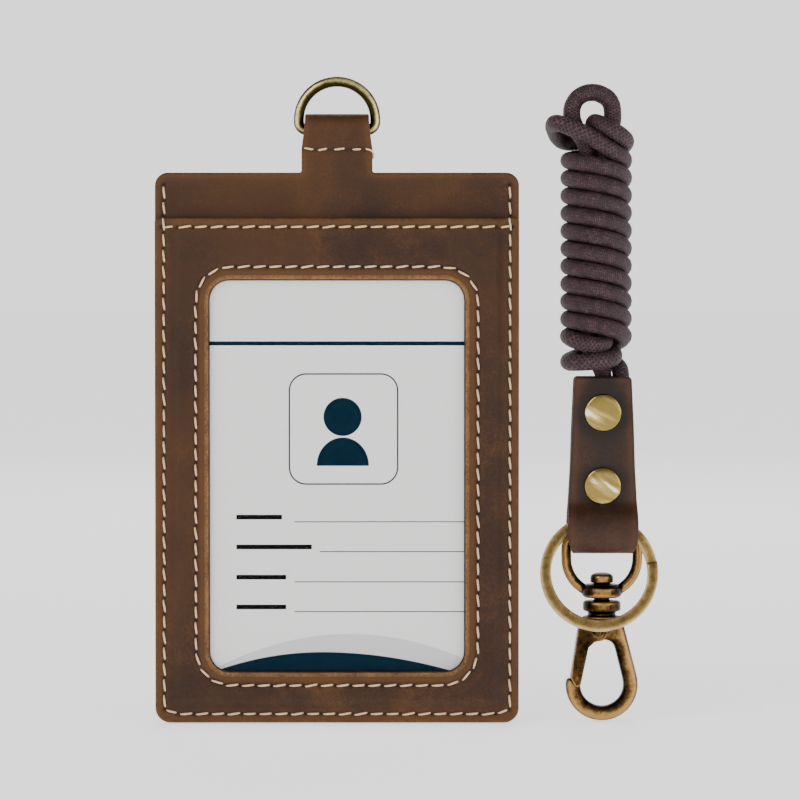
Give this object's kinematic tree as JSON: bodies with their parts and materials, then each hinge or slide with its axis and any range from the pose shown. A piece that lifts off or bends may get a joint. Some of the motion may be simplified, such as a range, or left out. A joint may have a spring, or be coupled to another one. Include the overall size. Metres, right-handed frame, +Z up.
{
  "type": "leather id card holder",
  "caption": "Upright leather card holder with a window pocket, back pocket, snap strap and hanging ring, set beside a wound cord lanyard with split ring and swivel hook.",
  "frame": {"origin": "top of the inside of the wire ring's bow, where the holder hangs", "axes": "+Z up along the holder's height, +Y out of its back, window side facing -Y, lanyard on the +X side"},
  "size_m": [0.1079, 0.0155, 0.1385],
  "materials": {
    "leather": "waxed, fine grain, tan cut edges",
    "clear_film": "clear gloss film",
    "card_print": "white card with plain print",
    "card_white": "satin white",
    "antique_brass": "aged, satin",
    "rivet_brass": "brushed in rings",
    "ring_bronze": "mottled, satin",
    "hook_bronze": "dark antique, rubbed edges",
    "spring_steel": "drawn wire",
    "waxed_cord": "waxed fine braid"
  },
  "bodies": {
    "holder": {"middle_panel": "leather", "front_panel": "leather", "window_film": "clear_film", "back_panel": "leather", "snap_stud": "antique_brass", "snap_stud_post": "antique_brass"},
    "strap": {"strap_tail": "leather", "snap_cap": "antique_brass", "snap_socket": "antique_brass"},
    "id_card_body": {"id_card": "card_print"},
    "access_card_body": {"access_card": "card_white"},
    "ring": {"d_ring": "antique_brass"},
    "lanyard": {"lanyard_tab": "leather", "neck_cord": "waxed_cord", "upper_rivet_cap": "rivet_brass", "upper_rivet_post": "rivet_brass", "lower_rivet_cap": "rivet_brass", "lower_rivet_post": "rivet_brass"},
    "split_ring_body": {"split_ring": "ring_bronze"},
    "eye": {"swivel_eye": "hook_bronze"},
    "hook": {"hook_body": "hook_bronze", "gate_pin": "hook_bronze", "gate_spring": "spring_steel"},
    "gate_body": {"gate": "hook_bronze"}
  },
  "joints": [
    {"name": "d_ring_swing", "type": "hinge", "parent": "holder", "child": "ring", "pos_m": [0, 0, -0.0093], "axis": [-1, 0, 0], "range_deg": [0, 75]},
    {"name": "strap_open", "type": "hinge", "parent": "holder", "child": "strap", "pos_m": [0, -0.00025, -0.0156], "axis": [1, 0, 0], "range_deg": [0, 90]},
    {"name": "id_card_slide", "type": "slide", "parent": "holder", "child": "id_card_body", "axis": [0, 0, 1], "range_m": [0, 0.1047]},
    {"name": "access_card_slide", "type": "slide", "parent": "holder", "child": "access_card_body", "axis": [0, 0, 1], "range_m": [0, 0.023]},
    {"name": "lanyard_slide", "type": "slide", "parent": "holder", "child": "lanyard", "axis": [1, 0, 0], "range_m": [0, 0.03]},
    {"name": "split_ring_swing", "type": "hinge", "parent": "lanyard", "child": "split_ring_body", "pos_m": [0.0562, -0.0013, -0.093], "axis": [-1, 0, 0], "range_deg": [0, 6]},
    {"name": "eye_swing", "type": "hinge", "parent": "lanyard", "child": "eye", "pos_m": [0.057, 0.0013, -0.0967], "axis": [1, 0, 0], "range_deg": [0, 12]},
    {"name": "hook_swivel", "type": "hinge", "parent": "eye", "child": "hook", "pos_m": [0.057, 0.0013, -0.1081], "axis": [0, 0, 1], "continuous": true},
    {"name": "gate_open", "type": "hinge", "parent": "hook", "child": "gate_body", "pos_m": [0.0561, 0.0013, -0.1171], "axis": [0, -1, 0], "range_deg": [0, 22], "stiffness_Nm_per_rad": 0.002, "springref_deg": -28.65}
  ]
}
